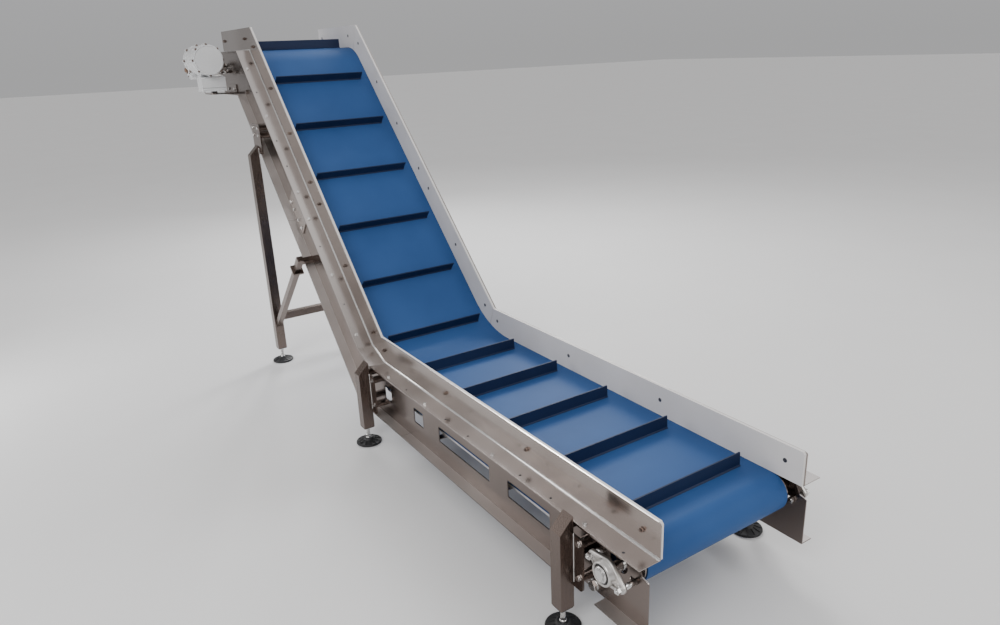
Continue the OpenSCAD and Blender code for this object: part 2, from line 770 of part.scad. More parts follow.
module motor_housing() {
    x0 = motor_x0 + 40;
    x1 = input_x - 6;
    color(paint) placed() difference() {
        union() {
            cyl_x(motor_r - 4, x0, x1, gear_y, worm_z, 96);
            cyl_x(motor_r, x0, x0 + 26, gear_y, worm_z, 96);
            cyl_x(motor_r, x1 - 34, x1 - 12, gear_y, worm_z, 96);
            cyl_x(60, x1 - 13, input_x - 0.2, gear_y, worm_z, 64);
            motor_lugs(motor_r - 1, x0, x0 + 26);
            motor_lugs(motor_r - 1, x1 - 34, x1 - 12);
            translate([(x0 + x1) / 2 - 50, gear_y - 30, worm_z - motor_r - 7])
                cube([90, 60, 24]);
        }
        cyl_x(46, x0 - 1, x1 - 20, gear_y, worm_z, 64);
        cyl_x(68, x0 - 1, x0 + 30, gear_y, worm_z, 64);
        cyl_x(9 + 0.3, x0, input_x + 1, gear_y, worm_z);
    }
}
module motor_end_cover() {
    color(paint) placed() difference() {
        union() {
            cyl_x(motor_r, motor_x0 + 6, motor_x0 + 39.8, gear_y, worm_z, 96);
            cyl_x(motor_r - 4, motor_x0, motor_x0 + 7, gear_y, worm_z, 96);
            motor_lugs(motor_r - 1, motor_x0 + 8, motor_x0 + 39.8);
        }
        cyl_x(70, motor_x0 + 12, motor_x0 + 41, gear_y, worm_z, 64);
    }
}
module motor_rotor() {
    color(steel) placed() {
        cyl_x(45, motor_x0 + 70, input_x - 50, gear_y, worm_z, 64);
        cyl_x(9, motor_x0 + 22, input_x + 3.5, gear_y, worm_z);
    }
}

box_x0 = motor_x0 + 42;
box_y0 = gear_y - 85;
box_w = 130;
box_l = 110;
box_h = 60;
lid_h = 18;
box_top = worm_z - motor_r - 7.1;
gland_z = box_top - 30;
gland_y = box_y0 + 55;
gland_bore = 4.5;
module terminal_box() {
    color(paint) placed() translate([box_x0, box_y0, box_top - box_h]) difference() {
        across(0, box_w) translate([box_l / 2, box_h / 2]) round_rect(box_l, box_h, 6);
        translate([5, 5, -1]) cube([box_l - 10, box_w - 10, box_h - 5]);
        translate([box_l - 10, gland_y - box_y0, box_h - 30]) rotate([0, 90, 0])
            cylinder(r = gland_bore, h = 20, $fn = 24);
    }
}
module terminal_box_lid() {
    color(paint) placed() translate([box_x0, box_y0, box_top - box_h - lid_h]) {
        across(0, box_w) translate([box_l / 2, lid_h / 2]) round_rect(box_l, lid_h - 0.2, 6);
    }
}
module cable_gland() {
    x0 = box_x0 + box_l + 0.1;
    color(dark) placed() difference() {
        union() {
            cyl_x(12, x0, x0 + 10, gland_y, gland_z, 6);
            cyl_x(9, x0 + 9, x0 + 24, gland_y, gland_z, 32);
        }
        cyl_x(gland_bore, x0 - 1, x0 + 25, gland_y, gland_z, 24);
    }
}
module gearbox_plugs() {
    color(steel) placed() {
        translate([head_c[0] + 30, gear_y, head_c[1] + 87.1]) {
            cylinder(r = 9, h = 8, $fn = 6);
            translate([0, 0, 7]) cylinder(r = 6, h = 9, $fn = 24);
        }
        cyl_x(9, head_c[0] + 66.1, head_c[0] + 74, gear_y, worm_z, 6);
        translate([head_c[0], gear_y, head_c[1] - 61.1]) cylinder(r = 8, h = 7, $fn = 6);
    }
}

// the arm holds the gearbox against the frame; its eye is bolted to the bracket
arm_end = [head_c[0] - 112, head_c[1] - 108];
bracket_x0 = arm_end[0] - 60;
arm_y = gear_y - 46 - 8.2;
module torque_arm() {
    d = arm_end - head_c;
    a = atan2(d[1], d[0]);
    color(steel) placed() difference() {
        union() {
            across(arm_y, arm_y + 8) translate(head_c) circle(r = 52, $fn = 64);
            across(arm_y, arm_y + 8) translate(head_c) rotate(a)
                translate([0, -22]) square([norm(d), 44]);
            cyl_y(24, arm_y - 4, arm_y + 12, arm_end[0], arm_end[1]);
        }
        cyl_y(26, arm_y - 2, arm_y + 12.1, head_c[0], head_c[1]);
        cyl_y(8.05, arm_y - 20, arm_y + 20, arm_end[0], arm_end[1]);
    }
    color(dark) placed() {
        cyl_y(8, arm_y - 24, arm_y + 20, arm_end[0], arm_end[1]);
        cyl_y(13, arm_y - 20, arm_y - 10.4, arm_end[0], arm_end[1], 6);
        cyl_y(13, arm_y + 12.1, arm_y + 22, arm_end[0], arm_end[1], 6);
    }
}
module torque_arm_bracket() {
    y1 = arm_y - 4.3;
    shelf_z = crest_z - 229;
    color(steel) placed() difference() {
        union() {
            across(web_y + 0.2, web_y + 6) translate([bracket_x0 + 90, crest_z - 204])
                round_rect(190, 50, 8);
            across(y1 - 6, y1) translate([arm_end[0], arm_end[1] + 4])
                round_rect(90, 70, 24);
            translate([arm_end[0] - 45, y1 - 6, shelf_z]) cube([90, 6, 40]);
            translate([bracket_x0 - 5, web_y + 0.2, shelf_z]) cube([190, 100, 6]);
            translate([bracket_x0 + 20, web_y + 90, shelf_z]) cube([140, 58, 6]);
            translate([bracket_x0 + 20, web_y + 123, shelf_z]) cylinder(r = 25, h = 6);
            translate([bracket_x0 + 160, web_y + 123, shelf_z]) cylinder(r = 25, h = 6);
        }
        cyl_y(8.05, web_y + 30, y1 + 5, arm_end[0], arm_end[1]);
        for (dx = [30, 150]) cyl_y(5, web_y - 1, web_y + 8, bracket_x0 + dx, crest_z - 205, 24);
    }
}

// ---- legs, brackets, braces and feet ----

leg_xs = [tail_leg_x, knee_leg_x, rear_leg_x];
leg_tops = [32, 26, 894];

module leg(x, top) {
    inner = leg_w - 6;
    translate([x - leg_w / 2, leg_y0, 0]) {
        difference() {
            translate([0, 0, leg_bottom]) cube([leg_w, leg_w, top - leg_bottom]);
            translate([3, 3, leg_bottom - 1]) cube([inner, inner, top - leg_bottom - slope_drop]);
            translate([-1, 0, top]) rotate([-45, 0, 0])
                translate([0, -20, 0]) cube([leg_w + 2, 2 * leg_w, leg_w]);
        }
    }
}
module legs() {
    color(steel) placed() both_sides() for (k = [0 : 2]) leg(leg_xs[k], leg_tops[k]);
}

plate_y = leg_y0 - 6.1;
leg_bolt_dx = [-49, 49];
leg_bolt_z = [-50, -170];
tie_bolt = [236, -216];
rear_plate_c = [rear_leg_x - 20, 950];
rear_plate_bolts = [for (dx = [-44, 44], dz = [0, 40]) rear_plate_c + [dx, dz]];
module boss(x, z) {
    cyl_y(16, web_y + 0.2, plate_y + 1, x, z, 32);
}
module plate_hole(x, z) {
    cyl_y(5, web_y - 1, plate_y + 8, x, z, 24);
}
module leg_plate(x, z0, z1) {
    across(plate_y, plate_y + 6) translate([x, (z0 + z1) / 2]) round_rect(134, z1 - z0, 14);
}
module leg_brackets() {
    color(steel) placed() both_sides() {
        for (x = [tail_leg_x, knee_leg_x]) difference() {
            union() {
                leg_plate(x, -215, -30);
                for (dx = leg_bolt_dx, z = leg_bolt_z) boss(x + dx, z);
            }
            for (dx = leg_bolt_dx, z = leg_bolt_z) plate_hole(x + dx, z);
        }
        difference() {
            union() {
                leg_plate(rear_plate_c[0], 850, 1010);
                for (p = rear_plate_bolts) boss(p[0], p[1]);
            }
            for (p = rear_plate_bolts) plate_hole(p[0], p[1]);
        }
    }
}

cross_z = -98;
brace_low = [rear_leg_x - 14, -140];
brace_top = [2527, 298];
module braces() {
    bar = 40;
    d = brace_top - brace_low;
    a = atan2(d[1], d[0]);
    post_a = climb_a + 90;
    color(steel) placed() {
        translate([rear_leg_x - bar / 2, 0.1 - leg_y0, cross_z - bar / 2])
            cube([bar, 2 * leg_y0 - 0.2, bar]);
        both_sides() {
            difference() {
                across(leg_mid_y - 15, leg_mid_y + 15) translate(brace_low) rotate(a)
                    translate([0, -15]) square([norm(d), 30]);
                translate([rear_leg_x - leg_w / 2 - 0.1, leg_y0 - 1, -400])
                    cube([leg_w + 80, leg_w + 2, 600]);
            }
            translate([brace_top[0], leg_mid_y, brace_top[1]]) rotate([0, -post_a, 0]) {
                translate([-6, -28, -28]) cube([12, 56, 56]);
                translate([5, -15, -15]) cube([100, 30, 30]);
                translate([66, -leg_mid_y + web_y + 0.2, -13])
                    cube([26, leg_mid_y - web_y - 14, 26]);
            }
        }
    }
}

module foot_inserts() {
    inner = leg_w - 6.2;
    color(dark) placed() both_sides() for (x = leg_xs) {
        translate([x, leg_mid_y, leg_bottom]) difference() {
            union() {
                translate([-inner / 2, -inner / 2, 0.2]) cube([inner, inner, 14]);
                translate([-leg_w / 2 + 1, -leg_w / 2 + 1, -3]) cube([leg_w - 2, leg_w - 2, 2.9]);
                translate([0, 0, -13]) cylinder(r = 13.8, h = 9.9, $fn = 6);
                translate([0, 0, -4]) cylinder(r = 12, h = 5, $fn = 24);
            }
            translate([0, 0, -20]) cylinder(r = spindle_r + fit_gap, h = 60);
        }
    }
}

module foot(x, side) {
    color(dark) placed() translate([x, side * leg_mid_y, -infeed_h]) {
        difference() {
            rotate_extrude($fn = 64) polygon([
                [0, 0], [pad_d / 2 - 1, 0], [pad_d / 2, 1], [pad_d / 2, 7],
                [pad_d / 2 - 2, 9], [22, 21], [18, 26], [0, 26]]);
            for (k = [-1, 1]) translate([0, k * 42, -1]) cylinder(r = 5.5, h = 30, $fn = 24);
        }
        translate([0, 0, 25]) cylinder(r = 12, h = 8, $fn = 6);
        translate([0, 0, 32]) cylinder(r = spindle_r, h = 118);
    }
}
module foot_tail_left() { foot(tail_leg_x, 1); }
module foot_tail_right() { foot(tail_leg_x, -1); }
module foot_knee_left() { foot(knee_leg_x, 1); }
module foot_knee_right() { foot(knee_leg_x, -1); }
module foot_rear_left() { foot(rear_leg_x, 1); }
module foot_rear_right() { foot(rear_leg_x, -1); }

side_frame_lower_left();
side_frame_lower_right();
side_frame_upper_left();
side_frame_upper_right();
splice_plates();
guide_left();
guide_right();
liner_infeed_left();
liner_infeed_right();
liner_climb_left();
liner_climb_right();
liner_head_left();
liner_head_right();
liner_screws();
frame_bolts();
bed_infeed();
bed_climb();
bed_head();
cross_members();
return_rails();
return_rail_brackets();
belt();
cleats();
tail_drum();
tail_shaft();
tail_bearing_rings();
tail_bearing_housings();
tail_bearing_studs();
head_drum();
head_shaft();
head_bearing_rings();
head_bearing_housings();
head_bearing_studs();
knee_roller();
knee_roller_axle();
edge_rollers();
edge_roller_axles();
gearbox_housing();
gearbox_covers();
worm_wheel();
worm_shaft();
motor_housing();
motor_end_cover();
motor_rotor();
terminal_box();
terminal_box_lid();
cable_gland();
gearbox_plugs();
torque_arm();
torque_arm_bracket();
legs();
leg_brackets();
braces();
foot_inserts();
foot_tail_left();
foot_tail_right();
foot_knee_left();
foot_knee_right();
foot_rear_left();
foot_rear_right();
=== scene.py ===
import json
import math

import bmesh
import bpy
from mathutils import Matrix, Vector


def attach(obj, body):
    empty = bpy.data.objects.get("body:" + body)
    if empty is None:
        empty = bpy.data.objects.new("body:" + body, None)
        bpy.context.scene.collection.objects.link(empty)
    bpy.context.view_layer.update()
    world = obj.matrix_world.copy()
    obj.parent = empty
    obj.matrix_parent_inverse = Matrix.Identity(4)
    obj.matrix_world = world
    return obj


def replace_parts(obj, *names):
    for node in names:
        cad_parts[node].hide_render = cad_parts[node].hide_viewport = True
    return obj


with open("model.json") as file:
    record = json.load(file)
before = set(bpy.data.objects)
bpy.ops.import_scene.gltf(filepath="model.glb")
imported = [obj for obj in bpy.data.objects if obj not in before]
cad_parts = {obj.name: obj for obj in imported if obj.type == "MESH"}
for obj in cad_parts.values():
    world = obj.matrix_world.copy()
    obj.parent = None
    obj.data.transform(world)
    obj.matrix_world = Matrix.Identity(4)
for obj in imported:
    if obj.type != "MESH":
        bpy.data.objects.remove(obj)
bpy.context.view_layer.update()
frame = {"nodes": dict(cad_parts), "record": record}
nodes = frame["nodes"]


# ---------------------------------------------------------------- where things are
# Millimetres. Tail frame: x from the tail end along the level run, z from the belt deck there.

MM = 0.001
X0, Z0 = -292.0, 372.0                                # tail frame origin in the row frame
FOOT_X, CREST_X, CREST_Z = 1832.0, 3216.515, 1384.515  # the two bends in the line
S45 = math.sqrt(0.5)
TAIL_C = (120.0, -69.4)
HEAD_C = (3646.515, 1295.115)
LEGS = {"tail": 292.0, "knee": 1770.0, "rear": 3030.0}
HOLE_PITCH, LEVEL_HOLE, SLOPE_HOLE, HOLE_Y = 168, 84, 141, 370  # open holes in the flanges
SIDE_FRAMES = ["side_frame_lower_left", "side_frame_lower_right",
               "side_frame_upper_left", "side_frame_upper_right"]


def at(x, y, z):
    """A point of the tail frame, in the row frame."""
    return (x + X0, y, z + Z0)


def climb(s, n):
    """A point s up the climb from its foot and n square to the deck, in the tail frame."""
    return (FOOT_X + s * S45 - n * S45, s * S45 + n * S45)


# ---------------------------------------------------------------- materials

def node_material(name):
    m = bpy.data.materials.new(name)
    m.use_nodes = True
    t = m.node_tree
    t.nodes.clear()
    out = t.nodes.new("ShaderNodeOutputMaterial")
    p = t.nodes.new("ShaderNodeBsdfPrincipled")
    t.links.new(p.outputs["BSDF"], out.inputs["Surface"])
    return m, t, p


def coords(t, scale):
    tc = t.nodes.new("ShaderNodeTexCoord")
    mp = t.nodes.new("ShaderNodeMapping")
    mp.inputs["Scale"].default_value = scale
    t.links.new(tc.outputs["Object"], mp.inputs["Vector"])
    return mp.outputs["Vector"]


def noise(t, vector, scale, detail=4.0, rough=0.55):
    n = t.nodes.new("ShaderNodeTexNoise")
    n.inputs["Scale"].default_value = scale
    n.inputs["Detail"].default_value = detail
    n.inputs["Roughness"].default_value = rough
    t.links.new(vector, n.inputs["Vector"])
    return n.outputs["Fac"]


def ramp(t, fac, a, b, lo=0.3, hi=0.7):
    r = t.nodes.new("ShaderNodeValToRGB")
    r.color_ramp.elements[0].position = lo
    r.color_ramp.elements[1].position = hi
    r.color_ramp.elements[0].color = (*a, 1)
    r.color_ramp.elements[1].color = (*b, 1)
    t.links.new(fac, r.inputs["Fac"])
    return r.outputs["Color"]


def spread(t, fac, lo, hi):
    m = t.nodes.new("ShaderNodeMapRange")
    m.inputs["From Min"].default_value = 0.25
    m.inputs["From Max"].default_value = 0.75
    m.inputs["To Min"].default_value = lo
    m.inputs["To Max"].default_value = hi
    t.links.new(fac, m.inputs["Value"])
    return m.outputs["Result"]


def bump(t, p, fac, strength, distance):
    b = t.nodes.new("ShaderNodeBump")
    b.inputs["Strength"].default_value = strength
    b.inputs["Distance"].default_value = distance
    t.links.new(fac, b.inputs["Height"])
    t.links.new(b.outputs["Normal"], p.inputs["Normal"])


def dot(t, vector, direction):
    n = t.nodes.new("ShaderNodeVectorMath")
    n.operation = "DOT_PRODUCT"
    n.inputs[1].default_value = direction
    t.links.new(vector, n.inputs[0])
    return n.outputs["Value"]


def sums(t, operation, a, b):
    n = t.nodes.new("ShaderNodeMath")
    n.operation = operation
    for socket, value in zip(n.inputs, (a, b)):
        if isinstance(value, (int, float)):
            socket.default_value = value
        else:
            t.links.new(value, socket)
    return n.outputs["Value"]


def along_plates(t, along, across):
    """Coordinates that follow the line: x along the sheet, y and z across it, level or climbing."""
    tc = t.nodes.new("ShaderNodeTexCoord")
    v = tc.outputs["Object"]
    mitre = (0.9239, 0, 0.3827)                   # square to the planes through both bends
    foot_at, crest_at = 1.5652, 3.3740            # where those planes lie, in metres
    foot = sums(t, "GREATER_THAN", dot(t, v, mitre), foot_at)
    crest = sums(t, "LESS_THAN", dot(t, v, mitre), crest_at)
    sloping = sums(t, "MULTIPLY", foot, crest)
    join = t.nodes.new("ShaderNodeCombineXYZ")
    h = 0.7071
    pairs = (((along, 0, 0), (along * h, 0, along * h)),
             ((0, across, 0), (0, across, 0)),
             ((0, 0, across), (-across * h, 0, across * h)))
    for k, (level, slope) in enumerate(pairs):
        mix = t.nodes.new("ShaderNodeMix")
        t.links.new(sloping, mix.inputs[0])
        t.links.new(dot(t, v, level), mix.inputs[2])
        t.links.new(dot(t, v, slope), mix.inputs[3])
        t.links.new(mix.outputs[0], join.inputs[k])
    return join.outputs["Vector"]


def brushed(name, a, b, rough=(0.26, 0.4), grain=None, top=None):
    """Metal between tones a and b; grain is the noise scale per axis, top a paler tone painted on faces that
    point up, a painted highlight for the light they catch from above.
    """
    m, t, p = node_material(name)
    p.inputs["Metallic"].default_value = 1.0
    where = along_plates(t, 6, 300) if grain is None else coords(t, grain)
    fine = noise(t, where, 3.0, 3.0)
    bands = noise(t, along_plates(t, 2.6, 0.6), 1.0, 1.0)
    smear = noise(t, along_plates(t, 9, 0.8), 1.0, 1.0)
    tone = ramp(t, bands, a, b, 0.32, 0.68)
    # painted highlight: faces pointing up blend into the paler top tone
    if top:
        geometry = t.nodes.new("ShaderNodeNewGeometry")
        facing = t.nodes.new("ShaderNodeMapRange")
        facing.inputs["From Min"].default_value = 0.55
        facing.inputs["From Max"].default_value = 0.95
        t.links.new(dot(t, geometry.outputs["Normal"], (0, 0, 1)), facing.inputs["Value"])
        mix = t.nodes.new("ShaderNodeMix")
        mix.data_type = "RGBA"
        t.links.new(facing.outputs["Result"], mix.inputs[0])
        t.links.new(tone, mix.inputs[6])
        t.links.new(ramp(t, smear, tuple(0.86 * c for c in top), top), mix.inputs[7])
        tone = mix.outputs[2]
    t.links.new(tone, p.inputs["Base Color"])
    dull = sums(t, "ADD", spread(t, fine, *rough), spread(t, smear, -0.03, 0.05))
    t.links.new(dull, p.inputs["Roughness"])
    bump(t, p, fine, 0.03, 0.0002)
    return m


def moulded(name, a, b, rough=(0.42, 0.55), size=60.0, height=0.0002, coat=0.0, shine=0.5,
            metallic=0.0):
    """Plastic, paint or casting between tones a and b, with a fine grain of the given size."""
    m, t, p = node_material(name)
    p.inputs["Metallic"].default_value = metallic
    fine = noise(t, coords(t, (1, 1, 1)), size, 5.0)
    broad = noise(t, coords(t, (1, 1, 1)), 3.0, 3.0)
    t.links.new(ramp(t, broad, a, b), p.inputs["Base Color"])
    t.links.new(spread(t, fine, *rough), p.inputs["Roughness"])
    p.inputs["Coat Weight"].default_value = coat
    p.inputs["Specular IOR Level"].default_value = shine
    bump(t, p, fine, 0.25, height)
    return m


# painted highlight: the top tone of both steels lightens every face that points up
steel = brushed("brushed_steel", (0.33, 0.285, 0.26), (0.42, 0.375, 0.35), (0.16, 0.20),
                top=(0.86, 0.82, 0.80))
# painted shade: a darker copy of the stainless for the side plates, leg brackets and torque arm, standing in
# for the shade under the flanges
shaded_frame_steel = brushed("shaded_frame_steel", (0.19, 0.155, 0.14), (0.245, 0.205, 0.185), (0.18, 0.24),
                      top=(0.80, 0.76, 0.74))
# painted shade: a still darker copy of the stainless for the legs, braces and cross members, also used for
# the liner nuts and drive screws
shaded_tube_steel = brushed("shaded_tube_steel", (0.155, 0.12, 0.105), (0.21, 0.17, 0.15), (0.22, 0.3), (260, 260, 5))
# painted highlight: a paler, rougher copy of the steel for the upper faces of the lips
lip_highlight_steel = brushed("lip_highlight_steel", (0.72, 0.68, 0.66), (0.84, 0.81, 0.79), (0.42, 0.5))
# a dark brown tone for the output shaft end and the torque-arm nut
dark_brown_steel = brushed("dark_brown_steel", (0.16, 0.095, 0.06), (0.30, 0.20, 0.15), (0.4, 0.55), (70, 70, 70))
steel_bright = brushed("turned_steel", (0.62, 0.61, 0.60), (0.72, 0.71, 0.70), (0.16, 0.26), (60, 60, 60))
cast = moulded("cast_steel", (0.52, 0.50, 0.48), (0.62, 0.60, 0.58), (0.28, 0.4), 150.0, 0.0004,
               metallic=0.95)
dark_steel = brushed("dark_steel", (0.10, 0.10, 0.11), (0.16, 0.16, 0.17), (0.3, 0.45), (50, 50, 50))
white = moulded("slide_plastic", (0.70, 0.68, 0.67), (0.78, 0.76, 0.75))
blue = moulded("belt_face", (0.024, 0.080, 0.235), (0.032, 0.098, 0.275), (0.48, 0.6), 240.0,
               shine=0.16)
navy = moulded("cleat_face", (0.006, 0.015, 0.05), (0.009, 0.021, 0.065), (0.45, 0.55), 200.0,
               shine=0.25)
paint = moulded("drive_paint", (0.60, 0.61, 0.62), (0.68, 0.69, 0.70), (0.28, 0.36), 120.0, 0.0001,
                coat=0.3)
black = moulded("black_plastic", (0.012, 0.012, 0.013), (0.022, 0.022, 0.024), (0.45, 0.6), 180.0)
bronze = brushed("bronze", (0.45, 0.28, 0.10), (0.58, 0.38, 0.16), (0.25, 0.38), (40, 200, 40))

LOOK = {
    "stainless": steel,
    "liner_white": white,
    "belt_blue": blue,
    "cleat_navy": navy,
    "drive_paint": paint,
    "black_plastic": black,
    "bronze": bronze,
}
OWN = {
    **{name: shaded_frame_steel for name in SIDE_FRAMES},
    "legs": shaded_tube_steel, "braces": shaded_tube_steel, "cross_members": shaded_tube_steel,
    "leg_brackets": shaded_frame_steel, "torque_arm_bracket": shaded_frame_steel, "torque_arm": shaded_frame_steel,
    "tail_shaft": steel_bright, "head_shaft": steel_bright,
    "tail_bearing_housings": cast, "head_bearing_housings": cast,
    "tail_bearing_rings": steel_bright, "head_bearing_rings": steel_bright,
    "liner_screws": steel_bright, "frame_bolts": steel_bright,
    "tail_bearing_studs": steel_bright, "head_bearing_studs": steel_bright,
    "gearbox_plugs": steel_bright,
}


def dress(obj, material):
    obj.data.materials.clear()
    obj.data.materials.append(material)


for sub in frame["record"]["subparts"]:
    node = sub["node"]
    dress(nodes[node], OWN.get(node, LOOK[sub["material_slot"]]))


def darken_holes(names, radius):
    """Gives the walls of the open flange holes the dark tone of a drilled edge in shadow."""
    level = [(LEVEL_HOLE + HOLE_PITCH * k + X0, HOLE_Y * side) for k in range(11) for side in (1, -1)]
    slope = [(SLOPE_HOLE + HOLE_PITCH * k, HOLE_Y * side) for k in range(13) for side in (1, -1)]
    for name in names:
        mesh = nodes[name].data
        mesh.materials.append(dark_steel)
        for poly in mesh.polygons:
            c = poly.center / MM
            x, z = c.x - X0 - FOOT_X, c.z - Z0
            up_climb = (x + z) * S45
            on_level = abs(z) < 12 and any(math.hypot(c.x - a, c.y - b) < radius for a, b in level)
            on_slope = abs(z - x) < 24 and any(math.hypot(up_climb - a, c.y - b) < radius for a, b in slope)
            if on_level or on_slope:
                poly.material_index = 1


def paint_lip_highlights(names):
    """Paints a highlight on the upper face of the lip along the foot of each side plate: a paler, rougher
    copy of the steel standing in for the light it catches.
    """
    for name in names:
        mesh = nodes[name].data
        mesh.materials.append(lip_highlight_steel)
        index = len(mesh.materials) - 1
        for poly in mesh.polygons:
            c = poly.center / MM
            below_deck = ((c.z - Z0) - (c.x - X0 - FOOT_X)) * S45
            faces_up = poly.normal.z > 0.95
            level = faces_up and c.z < 150
            slope = poly.normal.dot(Vector((-S45, 0, S45))) > 0.95 and below_deck < -220
            head = faces_up and c.x > 2900 and c.z < 1535
            if (level or slope or head) and abs(c.y) > 346:
                poly.material_index = index


def round_edges(names, width, segments=2):
    for n in names:
        b = nodes[n].modifiers.new("edges", "BEVEL")
        b.width = width
        b.segments = segments
        b.limit_method = "ANGLE"
        b.angle_limit = math.radians(35)


# ---------------------------------------------------------------- mesh helpers

def spin_to(place, axis, roll=0.0):
    """Matrix that carries local +Z onto axis at place, in the row frame: mm in, metres out."""
    z = Vector(axis).normalized()
    q = z.to_track_quat("Z", "Y")
    return (Matrix.Translation(Vector(place) * MM) @ q.to_matrix().to_4x4()
            @ Matrix.Rotation(roll, 4, "Z") @ Matrix.Scale(MM, 4))


def circle(r, n):
    return [(r * math.cos(2 * math.pi * j / n), r * math.sin(2 * math.pi * j / n)) for j in range(n)]


class Shape:
    """Gathers simple solids into one mesh."""

    def __init__(self):
        self.v, self.f, self.smooth = [], [], []

    def rings(self, rings, matrix, smooth=True, closed=False):
        """Skins a row of rings; closed joins the last ring to the first, otherwise both ends are capped."""
        base = len(self.v)
        n = len(rings[0])
        for ring in rings:
            self.v.extend(matrix @ Vector(p) for p in ring)
        last = len(rings) if closed else len(rings) - 1
        for i in range(last):
            a, b = base + i * n, base + (i + 1) % len(rings) * n
            for j in range(n):
                k = (j + 1) % n
                self.f.append((a + j, a + k, b + k, b + j))
                self.smooth.append(smooth)
        if not closed:
            self.f.append(tuple(base + j for j in reversed(range(n))))
            self.f.append(tuple(base + (len(rings) - 1) * n + j for j in range(n)))
            self.smooth += [False, False]

    def lathe(self, profile, matrix, n=32, closed=False):
        """profile is a list of (radius, height); closed joins the last point to the first, as for a ring."""
        self.rings([[(x, y, z) for x, y in circle(r, n)] for r, z in profile], matrix, True, closed)

    def hexagon(self, flats, height, matrix, n=36, both=False):
        """Hexagon with its corners turned down to a cone, as on a bolt head or nut."""
        a = flats / 2
        c = a * 0.96

        def r(t):
            return a / math.cos((t + math.pi / 6) % (math.pi / 3) - math.pi / 6)
        ts = [2 * math.pi * j / n for j in range(n)]
        drop = [max(0.0, (r(t) - c) * 0.577) for t in ts]
        top = [(r(t) * math.cos(t), r(t) * math.sin(t), height - d) for t, d in zip(ts, drop)]
        cap = [(c * math.cos(t), c * math.sin(t), height) for t in ts]
        low = [(r(t) * math.cos(t), r(t) * math.sin(t), d if both else 0.0) for t, d in zip(ts, drop)]
        rings = [low, top, cap]
        if both:
            rings.insert(0, [(c * math.cos(t), c * math.sin(t), 0.0) for t in ts])
        self.rings(rings, matrix, False)

    def thread(self, radius, z0, z1, pitch, matrix, n=20):
        profile = [(radius * 0.8, z0)]
        z = z0 + 0.3
        while z + pitch < z1 - 0.3:
            profile += [(radius - pitch * 0.42, z), (radius, z + pitch * 0.45), (radius, z + pitch * 0.55)]
            z += pitch
        profile += [(radius - pitch * 0.42, z), (radius * 0.8, z1)]
        self.lathe(profile, matrix, n)

    def prism(self, outline, height, matrix):
        self.rings([[(x, y, z) for x, y in outline] for z in (0.0, height)], matrix, False)

    def tube(self, points, radius, n=8, ripple=0.0):
        """A round bead along points, in the row frame in millimetres."""
        pts = [Vector(p) for p in points]
        rings = []
        for i, p in enumerate(pts):
            d = (pts[min(i + 1, len(pts) - 1)] - pts[max(i - 1, 0)]).normalized()
            side = d.orthogonal().normalized()
            up = d.cross(side)
            r = radius * (1.0 + ripple * (i % 2)) * (0.5 if i in (0, len(pts) - 1) else 1.0)
            rings.append([tuple(p + side * x + up * y) for x, y in circle(r, n)])
        self.rings(rings, Matrix.Scale(MM, 4), True)

    def make(self, name, material, body, slot):
        mesh = bpy.data.meshes.new(name)
        mesh.from_pydata([tuple(v) for v in self.v], [], self.f)
        mesh.polygons.foreach_set("use_smooth", self.smooth)
        mesh.update()
        bm = bmesh.new()
        bm.from_mesh(mesh)
        bmesh.ops.recalc_face_normals(bm, faces=bm.faces)
        bm.to_mesh(mesh)
        bm.free()
        mesh.materials.append(material)
        o = bpy.data.objects.new(name, mesh)
        bpy.context.scene.collection.objects.link(o)
        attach(o, body)
        return o


def bead(p, q, step=3.0):
    """Points from p to q, about step apart."""
    a, b = Vector(p), Vector(q)
    n = max(4, int((b - a).length / step))
    return [a.lerp(b, i / n) for i in range(n + 1)]


# ---------------------------------------------------------------- bolts and screws

def bolt(shape, place, axis, flats, head, washer, shank, grip, tail=6.0, pitch=1.5):
    """Head on a washer at place, shank back through the grip, washer, nut and thread end on the far side."""
    z = Vector(axis).normalized()
    m = spin_to(place, z, 0.3 * place[0])
    shape.lathe([(washer * 0.55, 0.05), (washer - 0.3, 0.05), (washer, 0.35), (washer, 1.3),
                 (washer - 0.3, 1.6), (washer * 0.55, 1.6)], m, 28, closed=True)
    shape.hexagon(flats, head, m @ Matrix.Translation((0, 0, 1.6)))
    b = spin_to(Vector(place) - z * grip, -z, 0.2 * place[2])
    shape.lathe([(washer * 0.55, 0.05), (washer, 0.05), (washer, 1.6), (washer * 0.55, 1.6)], b, 28,
                closed=True)
    shape.hexagon(flats, head * 1.2, b @ Matrix.Translation((0, 0, 1.6)), both=True)
    shape.thread(shank, 1.6 + head * 1.2, 1.6 + head * 1.2 + tail, pitch, b)


SMALL = (13, 5.3, 8.5, 4, 7, 4)     # across flats, head, washer, shank, grip, thread beyond the nut
LARGE = (17, 5.5, 9.5, 5)           # across flats, head, washer, shank
BRACKET_Y = 400.9                   # outer face of the leg brackets

